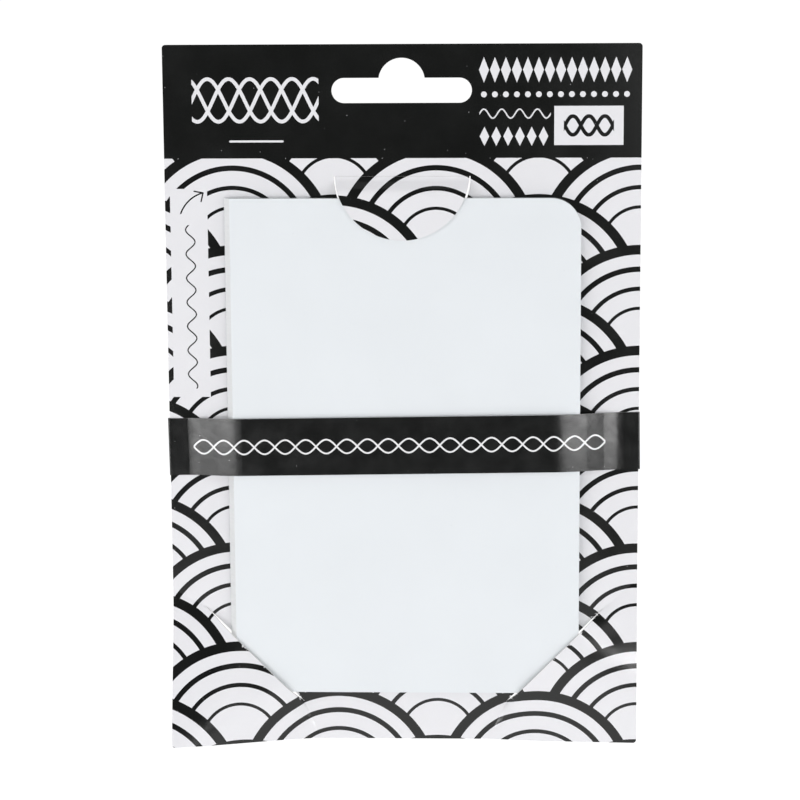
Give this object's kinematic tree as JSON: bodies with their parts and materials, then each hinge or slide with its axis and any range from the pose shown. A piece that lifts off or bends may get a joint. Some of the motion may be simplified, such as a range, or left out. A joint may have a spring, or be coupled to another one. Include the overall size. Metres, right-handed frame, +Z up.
{
  "type": "icing smoother",
  "caption": "Clear flat icing smoother plate with a bevelled edge, filmed on both faces and held on a hanging display card by slit corners, a folded tab and a belly band.",
  "frame": {"origin": "centre of the hang hole's round crown, half-way through the card's thickness", "axes": "+X to the right as seen from the front, +Z up along the card, +Y to the rear, so the printed front faces -Y"},
  "size_m": [0.141, 0.0121, 0.21],
  "materials": {
    "printed_card": "white coated board with a black print",
    "clear_acrylic": "clear, polished edges",
    "peel_film": "milky peel-off film",
    "black_paper": "gloss coated",
    "adhesive": "dried hot-melt glue"
  },
  "bodies": {
    "card": {"display_card": "printed_card"},
    "thumb_tab": {"thumb_tab": "printed_card"},
    "smoother": {"smoother_plate": "clear_acrylic", "front_film": "peel_film", "rear_film": "peel_film"},
    "belly_band": {"belly_band": "black_paper", "band_glue_strip": "adhesive"}
  },
  "joints": [
    {"name": "tab_lift", "type": "hinge", "parent": "card", "child": "thumb_tab", "pos_m": [0, -0.00025, -0.0277], "axis": [-1, 0, 0], "range_deg": [0, 110]},
    {"name": "plate_slide", "type": "slide", "parent": "card", "child": "smoother", "axis": [0, 0, 1], "range_m": [0, 0.0015]},
    {"name": "band_slide", "type": "slide", "parent": "card", "child": "belly_band", "axis": [0, 0, 1], "range_m": [-0.033, 0.045]}
  ]
}
